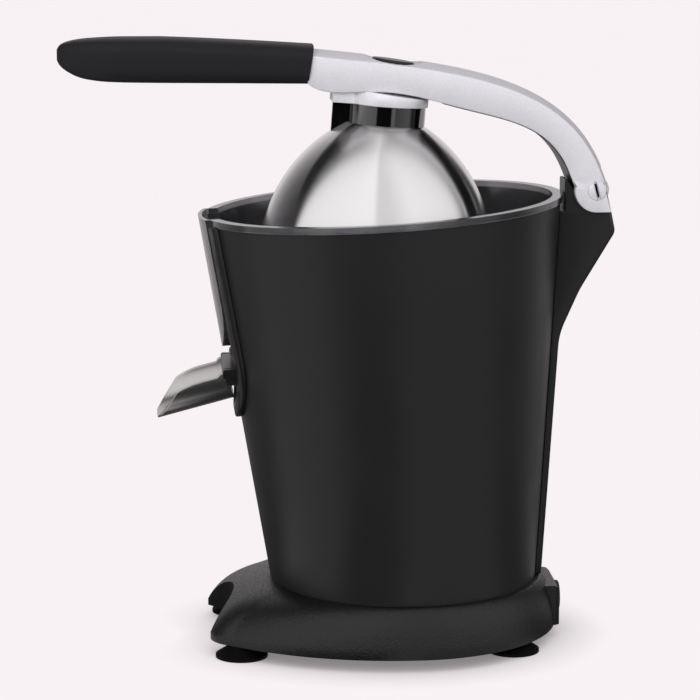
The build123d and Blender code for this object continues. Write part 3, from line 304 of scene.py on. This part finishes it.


# %% [markdown]
# The arm is a die casting under a silver lacquer. The flakes in the lacquer lie at slightly different angles,
# so each cell of a fine Voronoi pattern gets its own tilt in the bump and its own brightness in the colour: that
# brightness is a painted glint. Real flakes are finer than a pixel; these are drawn at half a millimetre so that they
# show.

# %% Finish: silver lacquer
def lacquered(name, dark, bright, rough, flake_mm):
    material, tree, shader = new_finish(name, bright, {"Metallic": 0.3, "Roughness": rough, "Specular IOR Level": 0.3})
    place = add(tree, "TexCoord")
    flake = add(tree, "TexVoronoi", {"Vector": place.outputs["Object"], "Scale": 1 / (flake_mm * MM)})
    # each flake's colour lies between the dark and the bright swatch: the lighter flakes are painted glints
    painted_flake_glint = add(tree, "ValToRGB", {"Fac": flake.outputs["Color"]})
    painted_flake_glint.color_ramp.elements[0].color = swatch(dark)
    painted_flake_glint.color_ramp.elements[1].color = swatch(bright)
    bump = add(tree, "Bump", {"Height": flake.outputs["Distance"], "Strength": 0.08, "Distance": 0.05 * MM})
    tree.links.new(painted_flake_glint.outputs["Color"], shader.inputs["Base Color"])
    tree.links.new(bump.outputs["Normal"], shader.inputs["Normal"])
    return material


arm_silver = lacquered("silver satin lacquer", "#d6d5da", "#e2e1e6", 0.48, 0.5)
bracket_silver = lacquered("bright silver lacquer", "#dcdbdf", "#ebeaee", 0.35, 0.5)
print("lacquers:", arm_silver.name, "and", bracket_silver.name)


# %% [markdown]
# Bare metals differ in how they were worked. The dome was turned, so its fine lines run round its axis and
# stretch every reflection up and down; the spout was rubbed along its length; the rest is plain stock.
# Each gets lines as long and thin as its tool left them, in the roughness and in a shallow bump.

# %% Finish: worked metal
def worked_metal(name, colour, rough, line_mm, coordinates="Object", sockets=None, relief=0.06):
    material, tree, shader = new_finish(name, colour, {"Metallic": 1.0, **(sockets or {})})
    place = add(tree, "TexCoord")
    stretch = add(tree, "Mapping", {"Vector": place.outputs[coordinates], "Scale": [1 / (mm * MM) for mm in line_mm]})
    line = add(tree, "TexNoise", {"Vector": stretch.outputs[0], "Scale": 1.0, "Detail": 3.0})
    gloss = spread(tree, line.outputs["Fac"], 0.3, 0.7, rough - relief / 2, rough + relief / 2)
    bump = add(tree, "Bump", {"Height": line.outputs["Fac"], "Strength": relief, "Distance": 0.01 * MM})
    tree.links.new(gloss, shader.inputs["Roughness"])
    tree.links.new(bump.outputs["Normal"], shader.inputs["Normal"])
    return material, tree, shader


# the UV map "turned" measures metres round the rim and up the side, so u runs along the tool's lines
dome_steel, tree, shader = worked_metal("turned stainless steel", "#e0dfde", 0.2, (80, 0.35, 1), "UV",
                                        {"Anisotropic": 1.0, "Anisotropic Rotation": 0.25}, 0.035)
tangent = add(tree, "Tangent", direction_type="UV_MAP", uv_map="turned")
tree.links.new(tangent.outputs[0], shader.inputs["Tangent"])
spout_steel = worked_metal("rubbed stainless steel", "#b8b6b4", 0.3, (0.5, 20, 0.5), relief=0.02)[0]
plain_steel = worked_metal("drawn steel bar", "#b4b4b5", 0.34, (0.6, 0.6, 12))[0]
bronze = worked_metal("sintered bronze", "#a98752", 0.45, (0.7, 0.7, 0.7))[0]
copper = worked_metal("enamelled copper wire", "#9c4d27", 0.33, (8, 8, 0.6))[0]
iron = worked_metal("stacked iron sheet", "#55565a", 0.5, (9, 9, 0.5))[0]
print("metals:", [m.name for m in (dome_steel, spout_steel, plain_steel, bronze, copper, iron)])

# %% [markdown]
# The record names a material slot for every node, so one table links the slots to the finishes.
# The solids that stay in view as they are, and those hidden inside, get their finish from it at once.

# %% Slots and bodies
FINISH = {
    "body_paint": paint, "base_plastic": base_plastic, "trim_plastic": trim_plastic,
    "collar_plastic": gloss_plastic, "grip_rubber": grip_rubber, "foot_rubber": foot_rubber,
    "seal_rubber": foot_rubber, "clear_plastic": clear_plastic, "dome_steel": dome_steel,
    "spout_steel": spout_steel, "arm_silver": arm_silver, "bracket_silver": bracket_silver,
    "reamer_plastic": gloss_plastic, "gear_plastic": gear_plastic, "deck_plastic": dark_plastic,
    "steel": plain_steel, "iron_stack": iron, "winding": copper, "bronze": bronze,
}
SLOT_OF = {row["node"]: row["material_slot"] for row in frame["record"]["subparts"]}
BODY_OF = {node: body for body, nodes in frame["record"]["behaviour"]["bodies"].items() for node in nodes}
for name, solid in frame["nodes"].items():
    solid.data.materials.clear()
    solid.data.materials.append(FINISH[SLOT_OF[name]])
print("finishes:", len(FINISH))


# %% [markdown]
# Pieces whose solid already has the right shape get a copy with its triangles welded together.
# Flat neighbours are joined, gentle turns are shaded smooth and real edges stay crisp. On a few pieces that catch
# the light a bevel rounds those edges: each one is given a weight, and the modifier rounds only what has weight.

# %% Smooth copies
WELD, FLAT_ANGLE, SHARP_ANGLE = 0.004 * MM, radians(0.05), radians(32)
BORE_REACH = 6.2 * MM
pin_low, pin_high = (Vector(corner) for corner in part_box("hinge_pin"))
PIVOT = (pin_low + pin_high) / 2


def finish_piece(bm, name, nodes, slot, body):
    """Turns a bmesh into a piece that stands for CAD nodes and rides with their body."""
    mesh = bpy.data.meshes.new(name)
    bm.to_mesh(mesh)
    bm.free()
    mesh.materials.append(FINISH[slot])
    piece = bpy.data.objects.new(name, mesh)
    scene.collection.objects.link(piece)
    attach(piece, body)
    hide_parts(*nodes)
    return piece


def smooth_edges(bm, sharp_angle):
    """Shades every face smooth and leaves edges that turn by the angle or more sharp."""
    for face in bm.faces:
        face.smooth = True
    for edge in bm.edges:
        edge.smooth = len(edge.link_faces) == 2 and edge.calc_face_angle(0) < sharp_angle


def in_pivot_bore(edge):
    """True for the edges of the bore through the arm's ears, whose rim the pivot head hides."""
    return all((vert.co - PIVOT).yz.length < BORE_REACH for vert in edge.verts)


def smooth_copy(node, edge_mm=0):
    bm = bmesh.new()
    bm.from_mesh(frame["nodes"][node].data)
    bmesh.ops.remove_doubles(bm, verts=bm.verts[:], dist=WELD)
    bmesh.ops.dissolve_limit(bm, angle_limit=FLAT_ANGLE, verts=bm.verts[:], edges=bm.edges[:])
    if node == "lever_arm":
        # its large flat sides have holes, and a bevel needs them in triangles
        bmesh.ops.triangulate(bm, faces=bm.faces[:])
    smooth_edges(bm, SHARP_ANGLE)
    if edge_mm:
        weight = bm.edges.layers.float.new("bevel_weight_edge")
        for edge in bm.edges:
            if not edge.smooth and not (node == "lever_arm" and in_pivot_bore(edge)):
                edge[weight] = 1
                edge.smooth = True
    piece = finish_piece(bm, node + "_skin", [node], SLOT_OF[node], BODY_OF[node])
    if edge_mm:
        # three faces to a softened edge are enough at this size
        bevel = piece.modifiers.new("softened edges", "BEVEL")
        bevel.limit_method = "WEIGHT"
        bevel.width, bevel.segments, bevel.use_clamp_overlap, bevel.harden_normals = edge_mm * MM, 3, False, True
    return piece


EDGE_MM = {"slot_bezel": 0.8, "rear_spine": 0.8, "lever_arm": 0.6, "dome_bracket": 0.4,
           "screw_cap": 0.3, "cord_gland": 0.4}
COPIED = ["base_housing", "body_shell", "slot_bezel", "rear_spine", "juice_bowl", "spout_holder", "lever_arm",
          "arm_liner", "dome_bracket", "dome_collar", "hinge_cap", "screw_cap", "reamer", "strainer",
          "cord_gland", "base_plate", "suction_foot_front_left", "suction_foot_front_right",
          "suction_foot_rear_left", "suction_foot_rear_right"]
for node in COPIED:
    smooth_copy(node, EDGE_MM.get(node, 0))
print("copied:", len(COPIED), "with softened edges:", len(EDGE_MM))

# %% [markdown]
# The dome is a deep-drawn cup turned on a lathe. Spinning its outline about its own axis gives the shape,
# and a UV map whose first axis runs round it carries the direction of the brushing.

# %% Press dome
# millimetres, as in the solids; the whole row of pieces was moved back so that the box is centred
ROW_SHIFT = 38.02
DOME_PLACE = Matrix.Translation(Vector((0, -15.6 + ROW_SHIFT, 233.0)) * MM) @ Matrix.Rotation(radians(-4.2), 4, "X")
DOME_RADIUS, DOME_HEIGHT, DOME_CROWN, DOME_BELLY, DOME_WALL, DOME_HOLE = 66.0, 64.0, 22.0, (54.7, 31.8), 1.5, 4.0
DOME_STEPS = 32


def arc(start, middle, end, count):
    """Points on the circle through three points of a side view."""
    (ax, ay), (bx, by), (cx, cy) = start, middle, end
    turn = 2 * (ax * (by - cy) + bx * (cy - ay) + cx * (ay - by))
    squares = [p[0] ** 2 + p[1] ** 2 for p in (start, middle, end)]
    ux = (squares[0] * (by - cy) + squares[1] * (cy - ay) + squares[2] * (ay - by)) / turn
    uy = (squares[0] * (cx - bx) + squares[1] * (ax - cx) + squares[2] * (bx - ax)) / turn
    radius = sqrt((ax - ux) ** 2 + (ay - uy) ** 2)
    first, last = atan2(ay - uy, ax - ux), atan2(cy - uy, cx - ux)
    angles = [first + (last - first) * i / count for i in range(count + 1)]
    return [(ux + radius * cos(a), uy + radius * sin(a)) for a in angles]


def turned(outline, place, steps=128):
    """Spins (radius, height) points in millimetres about the z axis of place, with a UV map in metres."""
    bm = bmesh.new()
    verts = [bm.verts.new((r * MM, 0, z * MM)) for r, z in outline]
    edges = [bm.edges.new(pair) for pair in zip(verts, verts[1:])]
    bmesh.ops.spin(bm, geom=verts + edges, cent=(0, 0, 0), axis=(0, 0, 1), angle=tau, steps=steps, use_merge=True)
    bmesh.ops.remove_doubles(bm, verts=bm.verts[:], dist=0.001 * MM)
    bmesh.ops.recalc_face_normals(bm, faces=bm.faces[:])
    widest = max(r for r, z in outline) * MM
    layer = bm.loops.layers.uv.new("turned")
    for face in bm.faces:
        around = atan2(*face.calc_center_median().yx)
        for loop in face.loops:
            own = atan2(*loop.vert.co.yx) if loop.vert.co.xy.length > 0.01 * MM else around
            own += tau * round((around - own) / tau)
            loop[layer].uv = (own * widest, loop.vert.co.z)
    bmesh.ops.transform(bm, matrix=place, verts=bm.verts[:])
    return bm


outside = arc((DOME_RADIUS, 0), DOME_BELLY, (DOME_CROWN, DOME_HEIGHT), DOME_STEPS)
inside = arc((DOME_RADIUS - DOME_WALL, 0), (DOME_BELLY[0] - DOME_WALL, DOME_BELLY[1] - DOME_WALL / 2),
             (DOME_CROWN - DOME_WALL / 2, DOME_HEIGHT - DOME_WALL), DOME_STEPS)
hole_top, hole_under = (DOME_HOLE, DOME_HEIGHT), (DOME_HOLE, DOME_HEIGHT - DOME_WALL)
bm = turned([hole_top] + outside[::-1] + inside + [hole_under, hole_top], DOME_PLACE)
smooth_edges(bm, radians(40))
finish_piece(bm, "dome_skin", ["press_dome"], "dome_steel", "arm")
print("dome turned")

# %% [markdown]
# The spout is a strip of steel folded into a trough and cut back to a rounded lip. A flat grid is bent into the
# trough: its rows run along the spout, and each row is only as wide as the lip lets it be at that place, so the grid's
# own edge becomes the lip. Solidify gives the sheet its thickness, and a small bevel makes the cut edge shine.

# %% Spout
SPOUT_PLACE = Matrix.Translation(Vector((0, ROW_SHIFT - 98.375, 142.274)) * MM) @ Matrix.Rotation(radians(14.7), 4, "X")
SPOUT_LENGTH, SPOUT_HALF, SPOUT_HEIGHT, SPOUT_FOLD, SPOUT_SHEET = 45.0, 25.6, 16.4, 15.6, 1.2
SPOUT_SHOULDER, SPOUT_ROUND, SPOUT_NOSE = 16.0, 1.75, 17.0
TAB_PLACE, TAB_HALF, TAB_HEIGHT = 3.0, 2.4, 1.8
SPOUT_COLUMNS, SPOUT_ROWS, CUT_ANGLE, CUT_ROUND = 48, 64, radians(55), 0.3
# the last row of the grid stops just short of the tip, where its width would be nothing
SPOUT_REACH = SPOUT_LENGTH * 0.9995
SPOUT_FLAT = SPOUT_HALF - SPOUT_FOLD


def lip_height(along):
    """Height of the trough's side at a distance along the spout, with a tab for the pin near its root."""
    share = max(0.0, along - SPOUT_SHOULDER) / (SPOUT_LENGTH - SPOUT_SHOULDER)
    tab = TAB_HEIGHT * max(0.0, 1 - ((along - TAB_PLACE) / TAB_HALF) ** 2)
    return SPOUT_HEIGHT * max(0.0, 1 - share ** SPOUT_ROUND) ** (1 / SPOUT_ROUND) + tab


def trough_width(along):
    """Length of sheet from the middle of the trough to its lip."""
    height = lip_height(along)
    by_height = SPOUT_FLAT + SPOUT_FOLD * acos(max(0.0, 1 - height / SPOUT_FOLD)) + max(0.0, height - SPOUT_FOLD)
    reach = along - (SPOUT_LENGTH - SPOUT_NOSE)
    if reach <= 0:
        return by_height
    nose = SPOUT_HALF - SPOUT_NOSE + sqrt(max(0.0, SPOUT_NOSE ** 2 - reach ** 2))
    if nose > SPOUT_FLAT:
        nose = SPOUT_FLAT + SPOUT_FOLD * asin(min(1.0, (nose - SPOUT_FLAT) / SPOUT_FOLD))
    return min(by_height, nose)


bm = bmesh.new()
bmesh.ops.create_grid(bm, x_segments=SPOUT_COLUMNS, y_segments=SPOUT_ROWS, size=1)
for vert in bm.verts:
    # rows lie closer together towards the tip, where the lip turns most
    along = SPOUT_REACH * (1 - (0.5 - vert.co.y / 2) ** 2)
    sheet = vert.co.x * trough_width(along)
    bend = min(max(0.0, abs(sheet) - SPOUT_FLAT) / SPOUT_FOLD, pi / 2)
    rise = max(0.0, abs(sheet) - SPOUT_FLAT - SPOUT_FOLD * pi / 2)
    across = min(abs(sheet), SPOUT_FLAT) + SPOUT_FOLD * sin(bend)
    vert.co = Vector((across if sheet > 0 else -across, -along, SPOUT_FOLD * (1 - cos(bend)) + rise)) * MM
bmesh.ops.remove_doubles(bm, verts=bm.verts[:], dist=0.01 * MM)
bmesh.ops.recalc_face_normals(bm, faces=bm.faces[:])
if sum(face.normal.z for face in bm.faces) < 0:
    bmesh.ops.reverse_faces(bm, faces=bm.faces[:])
bmesh.ops.solidify(bm, geom=bm.faces[:], thickness=-SPOUT_SHEET * MM)
bmesh.ops.recalc_face_normals(bm, faces=bm.faces[:])
bmesh.ops.transform(bm, matrix=SPOUT_PLACE, verts=bm.verts[:])
cut = [e for e in bm.edges if len(e.link_faces) == 2 and e.calc_face_angle(0) > CUT_ANGLE]
bmesh.ops.bevel(bm, geom=cut, offset=CUT_ROUND * MM, segments=2, profile=0.5, affect="EDGES", material=-1)
smooth_edges(bm, radians(50))
finish_piece(bm, "spout_skin", ["spout"], "spout_steel", "spout")
print("spout of", SPOUT_LENGTH, "mm")

# %% [markdown]
# The pivot is a pin with a flat slotted head. Two halves of a disc with a gap between them leave the slot open:
# a disc is cut straight, thickened and rounded along its upper edge, then copied half a turn round.

# %% Pivot pin
HEAD_RADIUS, HEAD_DEPTH, SLOT_WIDTH, SLOT_DEPTH, PIN_RADIUS, BRIM = (v * MM for v in (5.4, 2.6, 1.3, 2.0, 4.0, 0.45))
SLOT_TURN = radians(104)
bm = bmesh.new()
bmesh.ops.create_circle(bm, cap_ends=True, segments=64, radius=HEAD_RADIUS)
bmesh.ops.bisect_plane(bm, geom=bm.verts[:] + bm.edges[:] + bm.faces[:], plane_co=(SLOT_WIDTH / 2, 0, 0),
                       plane_no=(1, 0, 0), clear_inner=True)
raised = bmesh.ops.extrude_face_region(bm, geom=bm.faces[:], use_keep_orig=True)["geom"]
top = [v for v in raised if isinstance(v, bmesh.types.BMVert)]
bmesh.ops.translate(bm, vec=(0, 0, SLOT_DEPTH), verts=top)
bmesh.ops.recalc_face_normals(bm, faces=bm.faces[:])
brim = [e for e in bm.edges if all(v in top for v in e.verts)]
bmesh.ops.bevel(bm, geom=brim, offset=BRIM, segments=3, profile=0.5, affect="EDGES", material=-1)
other = bmesh.ops.duplicate(bm, geom=bm.verts[:] + bm.edges[:] + bm.faces[:])["geom"]
bmesh.ops.rotate(bm, cent=(0, 0, 0), matrix=Matrix.Rotation(radians(180), 3, "Z"),
                 verts=[v for v in other if isinstance(v, bmesh.types.BMVert)])
# the floor of the slot, and the pin that reaches through to the far side
for radius, depth in ((HEAD_RADIUS, HEAD_DEPTH - SLOT_DEPTH), (PIN_RADIUS, pin_high.x - pin_low.x - SLOT_DEPTH)):
    bmesh.ops.create_cone(bm, cap_ends=True, segments=64, radius1=radius, radius2=radius, depth=depth,
                          matrix=Matrix.Translation((0, 0, -depth / 2)))
place = Matrix.Translation((pin_high.x - SLOT_DEPTH, PIVOT.y, PIVOT.z))
bmesh.ops.transform(bm, matrix=place @ Matrix.Rotation(radians(90), 4, "Y") @ Matrix.Rotation(SLOT_TURN, 4, "Z"),
                    verts=bm.verts[:])
smooth_edges(bm, SHARP_ANGLE)
finish_piece(bm, "pivot_pin", ["hinge_pin"], "arm_silver", "arm")
print("pivot head of", round(2 * HEAD_RADIUS / MM, 1), "mm")

# %% [markdown]
# Three screws hold the spine from inside the drum. They are set a little further in than the solids: the spine is so
# thin at its waist that the bore of one breaks through, and a tip standing in that opening would catch the light.

# %% Spine screws
SCREW_DEPTH = 1.2 * MM
screws = smooth_copy("spine_screws")
screws.data.transform(Matrix.Translation((0, -SCREW_DEPTH, 0)))
print("screws moved in by", SCREW_DEPTH / MM, "mm")

# %% [markdown]
# The grip is soft rubber moulded over the front of the arm, with a rounded nose. A few sections along it are enough:
# a smooth curve through them gives many rings, each ring is a circle pushed out towards a box, a little rounder on top
# than below, and bridging the rings makes the skin. The rear end leans back over the arm.

# %% Grip
# place along the arm, underside, top and half width, in millimetres from the pivot
GRIP = [(-163.6, 60.8, 82.4, 19.4), (-205.4, 61.2, 85.1, 19.0), (-246.6, 61.6, 86.9, 19.0), (-268.0, 62.0, 86.9, 18.8),
        (-280.0, 62.7, 86.5, 17.4), (-290.0, 64.4, 85.8, 14.6), (-297.0, 67.4, 84.6, 11.0), (-301.6, 70.8, 82.8, 7.0),
        (-303.6, 74.0, 80.2, 3.4)]
GRIP_STEPS, GRIP_SIDES, TOP_SQUARENESS, UNDER_SQUARENESS, REAR_LEAN = 8, 64, 4.0, 5.0, 3.5
REAR, LEAN_END = GRIP[0][0], GRIP[1][0]


def between(before, start, end, after, t):
    """A value on the smooth (Catmull-Rom) curve from start to end; equal values stay level."""
    if start == end:
        return start
    bend = 2 * before - 5 * start + 4 * end - after + t * (3 * start - before - 3 * end + after)
    return start + t * (end - before + t * bend) / 2


def through(stations, steps):
    """Sections on a smooth curve through all the stations."""
    padded = [stations[0]] + stations + [stations[-1]]
    for four in zip(padded, padded[1:], padded[2:], padded[3:]):
        for i in range(steps):
            yield [between(*values, i / steps) for values in zip(*four)]
    yield stations[-1]


def squared(value, squareness):
    """Pushes a point of a unit circle out towards a box."""
    return copysign(abs(value) ** (2 / squareness), value)


bm = bmesh.new()
rings = []
for along, under, top, half in through(GRIP, GRIP_STEPS):
    ring = bmesh.ops.create_circle(bm, segments=GRIP_SIDES, radius=1)["verts"]
    for vert in ring:
        squareness = TOP_SQUARENESS if vert.co.y > 0 else UNDER_SQUARENESS
        across, up = half * squared(vert.co.x, squareness), (1 + squared(vert.co.y, squareness)) / 2
        lean = REAR_LEAN * up * max(0, (along - LEAN_END) / (REAR - LEAN_END))
        vert.co = (across * MM, PIVOT.y + (along + lean) * MM, PIVOT.z + (under + (top - under) * up) * MM)
    rings.append(list(dict.fromkeys(edge for vert in ring for edge in vert.link_edges)))
for ring, following in zip(rings, rings[1:]):
    bmesh.ops.bridge_loops(bm, edges=ring + following)
for ring in (rings[0], rings[-1]):
    bmesh.ops.edgeloop_fill(bm, edges=ring)
bmesh.ops.recalc_face_normals(bm, faces=bm.faces[:])
smooth_edges(bm, radians(60))
finish_piece(bm, "grip_skin", ["grip"], "grip_rubber", "arm")
print("grip rings:", len(rings))

# %% [markdown]
# A spring sits under the drive shaft and is pressed short when fruit is pushed onto the cone.

# %% Return spring
spring = smooth_copy("return_spring")
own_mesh(spring)
